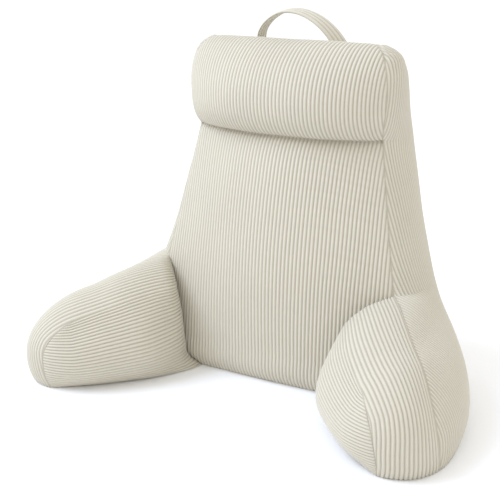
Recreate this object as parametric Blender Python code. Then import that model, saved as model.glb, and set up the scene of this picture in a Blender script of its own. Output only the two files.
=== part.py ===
"""Reading pillow with arms: a leaning back with a neck roll sewn into its top, two
splayed padded arms and a carrying strap, in wide-wale corduroy.

Metres, +Z up. The pillow stands on z = 0, the sitter faces -Y, and X is its width.
The shell is worked out panel by panel from the tables below, in millimetres, with a
crest and a valley for each rib of the cloth. Then it is parted into the back and the
two arms on the planes where the arms are sewn on."""

import math

import bmesh
import bpy
import numpy as np
from mathutils import Vector

# ---------------------------------------------------------------- named sizes (mm)
MM = 0.001
WALE = 6.63            # one rib of the corduroy
RIB = 0.85             # half the height of a rib
GAP = 0.3              # between neighbouring pieces
ARM_AZ = 40.5          # how far the arms splay from straight ahead, degrees
ARM_X, ARM_Y, ARM_Z = 218.4, 59.5, 183.0   # where the arm's outer seam starts
PUFF, PUFF_SHARE = 26.0, 0.78   # an arm swells at once by this share
FULL = 130.0           # and has its full section here
SEAM_AHEAD = 6.0       # the arms are parted this far in front of their crease

# The back's front panel. y is at the middle and at the side seam.
FRONT = [
    # z,    y_mid, y_seam, half
    (0.0,   26.0,  34.0,  253.0),
    (16.0,  15.0,  29.0,  250.0),
    (60.0,  11.0,  37.5,  242.0),
    (120.0, 9.0,   48.0,  230.0),
    (183.0, 10.0,  59.5,  218.4),
    (260.0, 17.0,  73.5,  203.0),
    (345.0, 31.0,  89.0,  186.5),
    (400.0, 48.0,  98.5,  176.0),
    (424.0, 62.0,  103.5, 171.5),
]
FRONT_POWER = 1.75     # how the panel's crown falls off to its side seams
JOIN = [(0.0, 131.0), (12.0, 149.0), (44.0, 163.5), (103.0, 180.5), (147.0, 203.0), (183.0, 218.4)]

# The neck roll's section at the middle and at the side seam: angle from the tuck, y, z.
ROLL = [
    # turn,  y_mid, y_seam, z,     half
    (0.0,    62.0,  103.5,  424.0, 171.5),
    (18.0,   47.0,  94.0,   436.0, 175.0),
    (40.0,   33.0,  88.0,   455.0, 179.0),
    (65.0,   27.0,  88.0,   482.0, 182.0),
    (90.0,   31.0,  89.0,   510.0, 182.0),
    (115.0,  46.0,  93.0,   538.0, 177.0),
    (140.0,  71.0,  102.0,  560.0, 168.0),
    (160.0,  95.0,  113.0,  571.0, 156.0),
    (172.0,  114.0, 122.0,  574.0, 149.0),
    (184.0,  136.0, 139.0,  571.0, 152.0),
    (200.0,  160.0, 157.0,  560.0, 157.0),
]
REAR_TOP = [(574.0, 126.0), (571.0, 139.0), (560.0, 157.0), (538.0, 178.0), (510.0, 199.0), (482.0, 211.0), (455.0, 220.0), (424.0, 226.0)]
REAR_Y = 228.0
REAR_COLUMNS = 9

# The outer side panel, from the back's rear seam round to the front seam: a curve in
# plan at each height, from the rear seam point by two shaping points.
SIDE = [
    # z,    rear_x, a_x,   a_y,   b_x,   b_y
    (0.0,   234.0,  305.0, 165.0, 390.0, -14.0),
    (15.0,  239.0,  312.0, 166.0, 400.0, -12.0),
    (60.0,  238.0,  316.0, 166.0, 403.0, -8.0),
    (110.0, 228.0,  302.0, 170.0, 362.0, 6.0),
    (150.0, 220.0,  281.0, 174.0, 286.0, 46.0),
    (180.0, 214.0,  264.0, 178.0, 259.0, 72.0),
    (210.0, 208.0,  249.0, 181.0, 248.0, 88.0),
    (250.0, 200.0,  234.0, 184.0, 235.0, 108.0),
    (330.0, 186.0,  214.0, 188.0, 213.0, 127.0),
    (424.0, 172.0,  192.0, 190.0, 193.0, 141.0),
    (455.0, 168.0,  189.0, 188.0, 197.0, 128.0),
    (500.0, 165.0,  190.0, 180.0, 200.0, 120.0),
    (540.0, 161.0,  188.0, 172.0, 197.0, 118.0),
    (560.0, 157.0,  180.0, 160.0, 188.0, 120.0),
    (574.0, 150.0,  160.0, 130.0, 165.0, 126.0),
]

# The strip's two seams, in the arm's own frame: u ahead along the arm, v outward.
STRIP = [
    # step, out_u, out_v, out_z, in_u,  in_v,   in_z,  crown
    (0.0,    0.0,   0.0,   183.0, 0.0,   -93.0,  150.0, 14.0),
    (0.14,   50.0,  -4.0,  174.0, 52.0,  -100.0, 148.0, 15.0),
    (0.26,   92.0,  -7.0,  162.0, 102.0, -106.0, 142.0, 16.0),
    (0.40,   136.0, -9.0,  146.0, 152.0, -110.0, 132.0, 17.0),
    (0.54,   182.0, -11.0, 130.0, 206.0, -112.0, 118.0, 19.0),
    (0.66,   217.0, -12.0, 104.0, 237.0, -113.0, 96.0,  21.0),
    (0.76,   238.0, -11.0, 78.0,  251.0, -110.0, 72.0,  21.0),
    (0.86,   249.0, -8.0,  47.0,  252.0, -105.0, 44.0,  19.0),
    (0.95,   247.0, -4.0,  15.0,  247.0, -99.0,  15.0,  17.0),
    (1.0,    242.0, -2.0,  0.0,   241.0, -96.0,  0.0,   15.0),
]

# The inner panel: its foot line and how far it bulges past a flat cloth.
FOOT = [(-60.0, -92.0), (-10.0, -100.0), (60.0, -110.0), (150.0, -105.0), (245.0, -97.0)]   # u, v
INNER_BULGE = 41.0

# The carrying strap: a folded band of the same cloth that stands up from the seam behind
# the roll. lean is how far its face turns from the arch's own facing, in degrees.
STRAP_W, STRAP_T = 34.0, 5.5
STRAP = [
    # share, x,     y,     z,     lean
    (0.0,   -84.0, 159.0, 562.5, 18.0),
    (0.12,  -79.0, 157.0, 583.0, 14.0),
    (0.28,  -61.0, 155.0, 604.0, 4.0),
    (0.46,  -30.0, 154.0, 618.0, -4.0),
    (0.62,  2.0,   154.0, 616.0, -9.0),
    (0.80,  38.0,  155.0, 598.0, -16.0),
    (0.92,  58.0,  157.0, 578.0, -20.0),
    (1.0,   69.0,  158.0, 562.5, -22.0),
]
STRAP_RIBS = 4


def col(table, key, value):
    """Column `value` of a table as a smooth function of column `key`."""
    rows = sorted((row[key], row[value]) for row in table)
    xs = np.array([r[0] for r in rows])
    ys = np.array([r[1] for r in rows])
    d = np.diff(ys) / np.diff(xs)
    m = np.zeros(len(xs))
    m[0], m[-1] = d[0], d[-1]
    for i in range(1, len(xs) - 1):
        h0, h1 = xs[i] - xs[i - 1], xs[i + 1] - xs[i]
        m[i] = (d[i - 1] * h1 + d[i] * h0) / (h0 + h1)

    def at(x):
        x = np.clip(np.asarray(x, float), xs[0], xs[-1])
        i = np.clip(np.searchsorted(xs, x) - 1, 0, len(xs) - 2)
        h = xs[i + 1] - xs[i]
        t = (x - xs[i]) / h
        return ((2 * t**3 - 3 * t**2 + 1) * ys[i] + (t**3 - 2 * t**2 + t) * h * m[i]
                + (-2 * t**3 + 3 * t**2) * ys[i + 1] + (t**3 - t**2) * h * m[i + 1])

    return at


FRONT_MID, FRONT_SEAM, FRONT_HALF = (col(FRONT, 0, k) for k in (1, 2, 3))
ROLL_MID, ROLL_SEAM, ROLL_H, ROLL_HALF = (col(ROLL, 0, k) for k in (1, 2, 3, 4))
JOIN_X = col(JOIN, 0, 1)
REAR_TOP_Y = col(REAR_TOP, 0, 1)
SIDE_COLS = [col(SIDE, 0, k) for k in range(1, 6)]
STRIP_COLS = [col(STRIP, 0, k) for k in range(1, 8)]
FOOT_V = col(FOOT, 0, 1)

AHEAD = np.array([math.sin(math.radians(ARM_AZ)), -math.cos(math.radians(ARM_AZ))])
OUTWARD = np.array([-AHEAD[1], AHEAD[0]])


def from_arm(u, v, z):
    """A point of the right arm's own frame, in the pillow's."""
    return np.stack([ARM_X + u * AHEAD[0] + v * OUTWARD[0],
                     ARM_Y + u * AHEAD[1] + v * OUTWARD[1], z + 0 * u], -1)


def to_arm(p):
    return ((p[..., 0] - ARM_X) * AHEAD[0] + (p[..., 1] - ARM_Y) * AHEAD[1],
            (p[..., 0] - ARM_X) * OUTWARD[0] + (p[..., 1] - ARM_Y) * OUTWARD[1])


def front_point(x, z):
    share = np.clip(np.abs(x) / FRONT_HALF(z), 0, 1) ** FRONT_POWER
    return np.stack([x + 0 * z, FRONT_MID(z) + (FRONT_SEAM(z) - FRONT_MID(z)) * share, z + 0 * x], -1)


def roll_point(x, turn):
    share = np.clip(np.abs(x) / ROLL_HALF(turn), 0, 1) ** 2.6
    return np.stack([x + 0 * turn, ROLL_MID(turn) + (ROLL_SEAM(turn) - ROLL_MID(turn)) * share,
                     ROLL_H(turn) + 0 * x], -1)


def along(curve, widest):
    """The curve's points by distance in the cloth from its start, and its whole length."""
    t = np.linspace(0, widest, 241)
    p = curve(t)
    d = np.concatenate([[0], np.cumsum(np.linalg.norm(np.diff(p, axis=0), axis=1))])
    return (lambda s: curve(np.interp(s, d, t))), d[-1]


def front_seam_point(z):
    """Where the outer panel's front edge is at this height."""
    if z >= TUCK:
        turn = np.interp(z, [ROLL_H(a) for a in np.linspace(0, 172, 200)], np.linspace(0, 172, 200))
        return np.array([ROLL_HALF(turn), ROLL_SEAM(turn)])
    if z >= ARM_Z:
        return np.array([FRONT_HALF(z), FRONT_SEAM(z)])
    step = step_at(z)
    p = from_arm(STRIP_COLS[0](step), STRIP_COLS[1](step), 0.0)
    return p[:2]


TUCK = FRONT[-1][0]
STEPS = np.linspace(0, 1, 600)
OUT_Z = STRIP_COLS[2](STEPS)


def step_at(z):
    return float(np.interp(-z, -OUT_Z, STEPS))


def rear_y(z):
    return float(REAR_TOP_Y(z)) if z > TUCK else REAR_Y - 2.0 * (z / TUCK) ** 2


def side_curve(z):
    """The outer panel's plan curve at height z, from the rear seam."""
    rx, ax, ay, bx, by = (float(c(z)) for c in SIDE_COLS)
    ry = rear_y(z)
    f = front_seam_point(z)
    k = np.array([(rx, ry), (ax, min(ay, ry)), (bx, by), f])

    def at(t):
        t = np.asarray(t, float)[..., None]
        xy = ((1 - t)**3 * k[0] + 3 * (1 - t)**2 * t * k[1] + 3 * (1 - t) * t**2 * k[2] + t**3 * k[3])
        return np.concatenate([xy, np.full(xy.shape[:-1] + (1,), z)], -1)

    return at


def rise(u):
    """0 at the crease where the arm is sewn on, 1 where it has its full section."""
    at_once = np.sqrt(1 - np.clip(1 - u / PUFF, 0, 1) ** 2)
    return PUFF_SHARE * at_once + (1 - PUFF_SHARE) * (1 - np.clip(1 - u / FULL, 0, 1) ** 1.6)


def crease(share):
    """The crease from the arm's outer seam (0) down to the floor (1), as u, v, z."""
    z = ARM_Z * (1 - share)
    p = front_point(JOIN_X(z), z)
    u, v = to_arm(p)
    return u, v, z


STRIP_SHARE = 0.26     # the strip's share of the crease


def strip_point(across, step):
    """across: 0 at the inner seam, 1 at the outer. step: 0 at the crease, 1 at the floor."""
    ou, ov, oz, iu, iv, iz, crown = (c(step) for c in STRIP_COLS)
    cu, cv, cz = crease(STRIP_SHARE * (1 - across))
    u = iu + (ou - iu) * across
    v = iv + (ov - iv) * across
    z = iz + (oz - iz) * across
    # the crown swells along the strip's own facing
    e = 0.01
    du = (STRIP_COLS[0](step + e) + STRIP_COLS[3](step + e)) / 2 - (STRIP_COLS[0](step - e) + STRIP_COLS[3](step - e)) / 2
    dz = (STRIP_COLS[2](step + e) + STRIP_COLS[5](step + e)) / 2 - (STRIP_COLS[2](step - e) + STRIP_COLS[5](step - e)) / 2
    length = np.hypot(du, dz) + 1e-9
    nu, nz = -dz / length, du / length
    # it also leans to the inner side where the outer seam is the higher one
    tilt = np.arctan2(oz - iz, ov - iv) * np.clip(1 - step / 0.6, 0, 1)
    swell = crown * (1 - (2 * across - 1) ** 2)
    nv = -np.sin(tilt)
    u = u + swell * nu
    z = z + swell * nz * np.cos(tilt)
    v = v + swell * nv
    r = rise(u)
    u0 = cu * (1 - np.clip(u / FULL, 0, 1))
    return from_arm(u + u0, cv + (v - cv) * r, cz + (z - cz) * r)


SEAM_U, SEAM_V, SEAM_Z = (np.array([row[k] for row in STRIP[:7]]) for k in (4, 5, 6))


def inner_point(h, t):
    """h: 0 at the floor, 1 at the strip's seam. t: 0 at the crease, 1 at the front seam."""
    step = front_step(h)
    end_u, end_v, end_z = STRIP_COLS[3](step), STRIP_COLS[4](step), STRIP_COLS[5](step)
    u = end_u * t
    top = np.interp(u, SEAM_U[:5], SEAM_Z[:5])
    z = h * top
    z = z + (end_z - z) * np.clip(u / np.maximum(end_u, 1), 0, 1) ** 4
    seam_v = np.interp(u, SEAM_U, SEAM_V)
    flat = FOOT_V(u) + (seam_v - FOOT_V(u)) * h
    flat = flat + (end_v - flat) * t**6
    round_up = np.sin(np.pi * np.clip(h, 0, 1) ** 0.82)
    bulge = INNER_BULGE * np.abs(round_up) ** 0.85
    bulge = bulge * np.where(t < 0.4, 1 - (1 - t / 0.4) ** 2, 1 - np.clip((t - 0.4) / 0.6, 0, 1) ** 4)
    cu, cv, cz = crease(1 - (1 - STRIP_SHARE) * h)
    r = rise(u)
    return from_arm(u + cu * (1 - np.clip(u / FULL, 0, 1)), cv + (flat - cv) * r - bulge, cz + (z - cz) * r)


IN_STEPS = np.linspace(0.54, 1.0, 300)
IN_Z = STRIP_COLS[5](IN_STEPS)
IN_U = STRIP_COLS[3](IN_STEPS)


def front_step(h):
    """The strip's step at which a rib line of the inner panel ends."""
    return np.interp(-np.asarray(h, float), -np.append(IN_Z / IN_Z[0], 0)[:-1], IN_STEPS)


# ==== meshes
SPARE = 0.3 * WALE     # a rib line nearer than this to a seam ends on it


class Shell:
    """Points and faces of the right half, x >= 0, in millimetres."""

    def __init__(self):
        self.points, self.faces = [], []

    def point(self, p):
        self.points.append(np.array(p, float))
        return len(self.points) - 1

    def face(self, ids):
        kept = [a for n, a in enumerate(ids) if a != ids[n - 1]]
        if len(set(kept)) >= 3:
            self.faces.append(kept)

    def into_edge(self, a, b, chain):
        """Puts the chain's points into the one face that has the edge a, b."""
        for face in self.faces:
            for n, here in enumerate(face):
                after = face[(n + 1) % len(face)]
                if (here, after) == (a, b):
                    face[n + 1:n + 1] = chain
                    return
                if (here, after) == (b, a):
                    face[n + 1:n + 1] = chain[::-1]
                    return
        raise ValueError("no face has that edge")

    def ribbed(self, rows, relief=()):
        """A panel. A row is (place, low, high, low id, high id): place gives a point by its
        distance in the cloth, and the rib lines run from row to row at equal distances.
        Without a low id the row starts on the pillow's middle. relief lowers the ribs of a
        row, by its number."""
        first = 0 if rows[0][3] is None else int(math.floor(min(r[1] for r in rows) / (WALE / 2))) - 1
        last = int(math.ceil(max(r[2] for r in rows) / (WALE / 2))) + 1
        grid = []
        for j, (place, low, high, low_id, high_id) in enumerate(rows):
            before, after = rows[max(j - 1, 0)], rows[min(j + 1, len(rows) - 1)]
            line = []
            for k in range(first, last + 1):
                s = k * WALE / 2
                if s <= low + SPARE and low_id is not None:
                    line.append(low_id)
                elif s >= high - SPARE:
                    line.append(high_id)
                else:
                    p = place(s)
                    across = place(min(s + 2, high)) - place(max(s - 2, low))
                    down = after[0](np.clip(s, after[1], after[2])) - before[0](np.clip(s, before[1], before[2]))
                    normal = np.cross(across, down)
                    normal /= np.linalg.norm(normal) + 1e-9
                    from_seam = high - s if low_id is None else min(s - low, high - s)
                    height = (0.5 + 0.5 * min(from_seam, 2 * WALE) / (2 * WALE)) * dict(relief).get(j, 1.0)
                    q = p + normal * RIB * (1 if k % 2 == 0 else -1) * height
                    if p[2] < 1e-6:
                        q[2] = 0.0
                    if s == 0 and low_id is None:
                        q[0] = 0.0
                    line.append(self.point(q))
            grid.append(line)
        for upper, lower in zip(grid, grid[1:]):
            for k in range(len(upper) - 1):
                self.face([upper[k], upper[k + 1], lower[k + 1], lower[k]])
        return grid

    def zip(self, one, two):
        """Closes the strip between two chains of points that run the same way."""
        def shares(chain):
            p = np.array([self.points[a] for a in chain])
            d = np.concatenate([[0], np.cumsum(np.linalg.norm(np.diff(p, axis=0), axis=1))])
            return d / d[-1]
        a, b, i, j = shares(one), shares(two), 0, 0
        while i < len(one) - 1 or j < len(two) - 1:
            if j == len(two) - 1 or (i < len(one) - 1 and a[i + 1] <= b[j + 1]):
                self.face([one[i], one[i + 1], two[j]])
                i += 1
            else:
                self.face([one[i], two[j + 1], two[j]])
                j += 1


shell = Shell()


def distinct(line):
    return [a for n, a in enumerate(line) if n == 0 or a != line[n - 1]]


# Front panel and neck roll: one run of rib lines from the floor over the roll.
FRONT_ROWS = [0.0, 16.0, 50.0, 95.0, 140.0, 183.0, 262.0, 345.0, 395.0, 424.0]
ROLL_ROWS = [18.0, 40.0, 65.0, 90.0, 115.0, 140.0, 160.0, 172.0, 184.0, 200.0]
band = []
seam_id = {}
for z in FRONT_ROWS:
    wide = float(JOIN_X(z)) if z < ARM_Z else float(FRONT_HALF(z))
    place, length = along(lambda x, z=z: front_point(x, np.full(np.shape(x), z)), wide)
    seam_id[z] = shell.point(place(length))
    band.append((place, 0.0, length, None, seam_id[z]))
for turn in ROLL_ROWS:
    place, length = along(lambda x, turn=turn: roll_point(x, np.full(np.shape(x), turn)), float(ROLL_HALF(turn)))
    seam_id[-turn] = shell.point(place(length))
    band.append((place, 0.0, length, None, seam_id[-turn]))
band_grid = shell.ribbed(band, relief=[(len(band) - 1, 0.0)])

# Rear panel, plain.
def rear_point(share, z):
    half = float(SIDE_COLS[0](z))
    y = rear_y(z) + 9.0 * math.sin(math.pi * min(z / 560.0, 1)) ** 0.6 * (1 - share**2) if z > 0 else rear_y(z)
    return np.array([half * share, y, z])


REAR_ROWS = [538.0, 510.0, 482.0, 455.0, 436.0, 424.0, 345.0, 262.0, 183.0]
OUTER_STEPS = [0.14, 0.205, 0.29, 0.40, 0.54, 0.66, 0.76, 0.86, 0.95, 1.0]
low_z = [float(STRIP_COLS[2](s)) for s in OUTER_STEPS]
low_z[-1] = 0.0
rear = []
for z in REAR_ROWS + low_z:
    rear.append([shell.point(rear_point(n / REAR_COLUMNS, z)) for n in range(REAR_COLUMNS + 1)])
for upper, lower in zip(rear, rear[1:]):
    for k in range(REAR_COLUMNS):
        shell.face([upper[k], upper[k + 1], lower[k + 1], lower[k]])
shell.zip(distinct(band_grid[-1]), rear[0])
rear_id = {z: line[-1] for z, line in zip(REAR_ROWS + low_z, rear)}

# The strip over the arm.
# The ribs are measured from the outer seam, and are drawn together where the arm is sewn on.
STRIP_FULL = along(lambda c: strip_point(c, np.full(np.shape(c), 0.26)), 1.0)[1]
CREASE_STEPS = [0.003, 0.022, 0.062]
strip_rows, strip_ends = [], []
for step in CREASE_STEPS + OUTER_STEPS:
    place, length = along(lambda c, step=step: strip_point(c, np.full(np.shape(c), step)), 1.0)
    low, high = place(0.0), place(length)
    if step == 1.0:
        low[2] = high[2] = 0.0
    ends = shell.point(low), shell.point(high)
    strip_ends.append(ends)
    tight = min(length / STRIP_FULL, 1.0) if step < 0.26 else 1.0
    strip_rows.append((lambda s, place=place, length=length, tight=tight: place(s * tight + length),
                       -length / tight, 0.0, *ends))
strip_grid = shell.ribbed(strip_rows)

# The outer side panel, from the top of the roll to the floor.
side_rows = []


def side_row(z, rear_end, front_end):
    """The ribs are measured from an upright line, so the rear seam cuts some of them off."""
    place, length = along(side_curve(z), 1.0)
    low = REAR_Y - rear_y(z)
    side_rows.append((lambda s, place=place, low=low: place(s - low), low, low + length, rear_end, front_end))


side_row(571.0, seam_id[-184.0], seam_id[-160.0])
side_row(560.0, seam_id[-200.0], seam_id[-140.0])
for z, turn in ((538.0, -115.0), (510.0, -90.0), (482.0, -65.0), (455.0, -40.0), (436.0, -18.0)):
    side_row(z, rear_id[z], seam_id[turn])
for z in (424.0, 345.0, 262.0, 183.0):
    side_row(z, rear_id[z], seam_id[z])
for z, ends in zip(low_z, strip_ends[len(CREASE_STEPS):]):
    side_row(z, rear_id[z], ends[1])
side_grid = shell.ribbed(side_rows, relief=[(0, 0.0), (1, 0.3)])
shell.face(distinct(side_grid[0]) + [seam_id[-172.0]])
shell.into_edge(seam_id[424.0], seam_id[345.0], [seam_id[395.0]])
shell.into_edge(seam_id[183.0], strip_ends[3][1], [e[1] for e in strip_ends[:3]])

# The inner panel, its ribs running along the arm.
INNER_T = [0.004, 0.03, 0.08, 0.18, 0.36, 0.56, 0.74, 0.87, 0.95, 0.985]
heights = np.linspace(0, 1, 200)
mid = inner_point(heights, np.full(200, 0.4))
inner_ribs = int(round(np.linalg.norm(np.diff(mid, axis=0), axis=1).sum() / WALE))
inner_lines = []
for k in range(2 * inner_ribs):
    h = k / (2 * inner_ribs)
    t = np.array(INNER_T)
    p = inner_point(np.full(t.shape, h), t)
    along_arm = inner_point(np.full(t.shape, h), np.clip(t + 0.01, 0.001, 1)) - inner_point(np.full(t.shape, h), np.clip(t - 0.01, 0.001, 1))
    up = inner_point(np.full(t.shape, min(h + 0.02, 1)), t) - inner_point(np.full(t.shape, max(h - 0.02, 0)), t)
    normal = np.cross(up, along_arm)
    normal /= np.linalg.norm(normal, axis=1)[:, None] + 1e-9
    q = p + normal * RIB * (1 if k % 2 else -1)
    q[0], q[-1] = p[0], p[-1]
    if k == 0:
        q = p
        q[:, 2] = 0.0
    inner_lines.append([shell.point(row) for row in q])
for lower, upper in zip(inner_lines, inner_lines[1:]):
    for k in range(len(INNER_T) - 1):
        shell.face([lower[k], lower[k + 1], upper[k + 1], upper[k]])

# Crease and seam strips that join the panels.
crease_chain = [seam_id[z] for z in FRONT_ROWS if z <= ARM_Z]
arm_chain = [line[0] for line in inner_lines] + distinct(strip_grid[0])
shell.zip(crease_chain, arm_chain)
top_chain = inner_lines[-1] + [line[-1] for line in inner_lines[-2::-1]]
shell.zip(top_chain, [e[0] for e in strip_ends])

# The base, flat on the floor, by its loop of points.
base = (distinct(band_grid[0]) + inner_lines[0] + distinct(strip_grid[-1])
        + distinct(side_grid[-1])[::-1] + rear[-1][-2::-1])
base = distinct(base)


def whole():
    """The closed shell of both halves, in metres."""
    bm = bmesh.new()
    right = [bm.verts.new(Vector(p) * MM) for p in shell.points]
    left = [v if abs(p[0]) < 1e-6 else bm.verts.new(Vector((-p[0], p[1], p[2])) * MM)
            for v, p in zip(right, shell.points)]
    for ids in shell.faces:
        bm.faces.new([right[a] for a in ids])
        bm.faces.new([left[a] for a in reversed(ids)])
    bm.faces.new([right[a] for a in base] + [left[a] for a in base[-2:0:-1]])
    bmesh.ops.recalc_face_normals(bm, faces=bm.faces)
    return bm


def parting_plane():
    """The plane of the crease on the right side: a point on it, and its normal to the arm."""
    z = np.linspace(15.0, ARM_Z, 24)
    p = front_point(JOIN_X(z), z)
    centre = p.mean(0)
    normal = np.linalg.svd(p - centre)[2][2]
    if normal[1] > 0:
        normal = -normal
    return centre, normal


for old in list(bpy.data.objects):
    bpy.data.objects.remove(old)

CREAM = (0.72, 0.70, 0.61, 1)
# The tables count y from a line through the arms. The middle of the depth goes to y = 0.
depth = [p[1] for p in shell.points]
MIDDLE_Y = (min(depth) + max(depth)) / 2


def add(name, bm):
    """One piece of the pillow with its own cloth."""
    cloth = bpy.data.materials.new("corduroy_" + name)
    cloth.use_nodes = True
    shader = cloth.node_tree.nodes["Principled BSDF"]
    shader.inputs["Base Color"].default_value = CREAM
    shader.inputs["Roughness"].default_value = 0.95
    shader.inputs["Metallic"].default_value = 0.0
    bmesh.ops.translate(bm, verts=bm.verts, vec=(0.0, -MIDDLE_Y * MM, 0.0))
    mesh = bpy.data.meshes.new(name)
    bm.to_mesh(mesh)
    bm.free()
    mesh.materials.append(cloth)
    obj = bpy.data.objects.new(name, mesh)
    bpy.context.collection.objects.link(obj)
    return obj


def cut(bm, centre, normal, keep_ahead):
    """Keeps one side of a plane and closes the cut."""
    geometry = bm.verts[:] + bm.edges[:] + bm.faces[:]
    done = bmesh.ops.bisect_plane(bm, geom=geometry, dist=1e-6, plane_co=Vector(centre) * MM,
                                  plane_no=Vector(normal), clear_inner=keep_ahead, clear_outer=not keep_ahead)
    edges = [e for e in done["geom_cut"] if isinstance(e, bmesh.types.BMEdge)]
    bmesh.ops.contextual_create(bm, geom=edges)
    bmesh.ops.recalc_face_normals(bm, faces=bm.faces)


centre, normal = parting_plane()
centre = centre + normal * SEAM_AHEAD
mirrored = np.array([-1, 1, 1])
back = whole()
cut(back, centre - normal * GAP / 2, normal, False)
cut(back, (centre - normal * GAP / 2) * mirrored, normal * mirrored, False)
add("back_cushion", back)
for side, flip in (("right", np.array([1, 1, 1])), ("left", mirrored)):
    arm = whole()
    cut(arm, (centre + normal * GAP / 2) * flip, normal * flip, True)
    add("arm_" + side, arm)


def pillow_top(x, y):
    """The height of the rounded top behind the roll."""
    turns = np.linspace(172, 200, 60)
    p = roll_point(np.full(60, x), turns)
    below = rear_point(abs(x) / ROLL_HALF(200.0), 538.0)
    return float(np.interp(y, np.append(p[:, 1], below[1]), np.append(p[:, 2], below[2])))


# The strap, its ribs running along it.
strap_cols = [col(STRAP, 0, k) for k in range(1, 5)]
profile = [(STRAP_W * (n / (2 * STRAP_RIBS) - 0.5), STRAP_T / 2 - (0.9 if n % 2 == 0 else 0.0))
           for n in range(2 * STRAP_RIBS + 1)]
profile += [(a, -b) for a, b in reversed(profile)]
bm = bmesh.new()
rings = []
for share in np.linspace(0, 1, 19):
    here = np.array([float(c(share)) for c in strap_cols])
    ahead = np.array([float(c(min(share + 0.01, 1)) - c(max(share - 0.01, 0))) for c in strap_cols[:3]])
    ahead /= np.linalg.norm(ahead)
    lean = math.radians(here[3])
    out = np.cross(ahead, (0.0, 1.0, 0.0))
    out /= np.linalg.norm(out)
    out = out if out[2] > 0 or abs(ahead[2]) > 0.99 else -out
    wide = np.cross(out, ahead)
    wide = wide if wide[1] > 0 else -wide
    face = out * math.cos(lean) + wide * math.sin(lean)
    wide = wide * math.cos(lean) - out * math.sin(lean)
    ring = [here[:3] + wide * a + face * b for a, b in profile]
    if share in (0.0, 1.0):
        ring = [np.array([p[0], p[1], pillow_top(p[0], p[1]) + RIB + 1.6 * GAP]) for p in ring]
    rings.append([bm.verts.new(Vector(p) * MM) for p in ring])
for one, two in zip(rings, rings[1:]):
    for n in range(len(profile)):
        bm.faces.new([one[n - 1], one[n], two[n], two[n - 1]])
for ring in (rings[0], rings[-1]):
    for n in range(2 * STRAP_RIBS):
        bm.faces.new([ring[n], ring[n + 1], ring[-n - 2], ring[-n - 1]])
bmesh.ops.recalc_face_normals(bm, faces=bm.faces)
add("handle_strap", bm)
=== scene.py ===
"""A corduroy reading pillow with arms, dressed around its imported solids.

Sizes are in millimetres in the tables and in metres on the objects. The pillow stands on
z = 0 and the sitter faces -Y. Each panel of the cloth is worked out with its own ribs and
sewn to the next along shared seam points, and the closed shell is then parted into the
back cushion and the two arms."""

import math

import bmesh
import bpy
import numpy as np
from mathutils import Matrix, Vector, noise


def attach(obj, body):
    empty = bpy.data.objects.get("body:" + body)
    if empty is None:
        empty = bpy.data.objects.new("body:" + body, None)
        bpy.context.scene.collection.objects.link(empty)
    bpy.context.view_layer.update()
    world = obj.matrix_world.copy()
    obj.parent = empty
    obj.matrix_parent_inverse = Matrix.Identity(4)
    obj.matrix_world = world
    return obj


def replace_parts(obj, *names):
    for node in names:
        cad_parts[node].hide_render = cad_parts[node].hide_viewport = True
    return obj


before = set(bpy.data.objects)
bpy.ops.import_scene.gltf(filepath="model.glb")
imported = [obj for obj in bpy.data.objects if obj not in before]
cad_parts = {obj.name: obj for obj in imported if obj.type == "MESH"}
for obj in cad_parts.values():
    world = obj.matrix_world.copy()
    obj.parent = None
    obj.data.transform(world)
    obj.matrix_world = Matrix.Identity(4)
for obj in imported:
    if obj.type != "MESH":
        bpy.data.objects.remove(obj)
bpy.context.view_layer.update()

# ---------------------------------------------------------------- front panel and neck roll
# The back's front: one length of cream wide-wale corduroy, cut so that its ribs run from
# the floor up to the tuck under the neck roll, over the roll and down the hidden rear. It
# is tightly filled, so it crowns between the two side seams.
MM = 0.001
WALE = 6.63            # one rib
RIB = 0.95             # half a rib's height
RIB_ROUND = 0.8        # the lower, the rounder its crest and the narrower its valley
SAMPLES = 6            # points across one rib
STEP = WALE / SAMPLES
SPARE = 0.3 * STEP     # a rib line nearer than this to a seam ends on it
PUFF_UP = 1.6          # how far the cloth swells beside a seam
PUFF_RUN = 4.5
SEAM_FLAT = 0.6        # the share of a rib's height that a seam presses out
SEAM_PULL = 3.0        # cloth that is pulled in this far gets the full painted seam shade
GATHER_RUN = 14.0      # gathers fade out over this
GATHER_WAVE = 9.0      # and are this far apart
GATHER_START = 2.0     # where the first one is, as an angle
SLOPE_REACH = 1.5      # how far to each side the cloth's slope is read
FLOOR_KEEP = 0.4       # the share of its height that a point keeps above the floor
TOUCH = 1e-6           # nearer than this to the floor or to the middle is on it
TINY = 1e-9            # keeps a length from being zero
MIDDLE_Y = 16.65       # the tables' y at the middle of the pillow's depth
TUCK_Z = 424.0
TUCK_PULL, TUCK_RUN = 4.5, 5.0             # how deep and how wide the tuck draws the cloth in
REAR_SEAM_PULL, REAR_SEAM_RUN = 2.0, 4.0   # the same for the seam behind the roll
ROLL_MM, CROWN_MM = 1.2, 1.5               # cloth for a degree of the roll, low and on top

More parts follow.
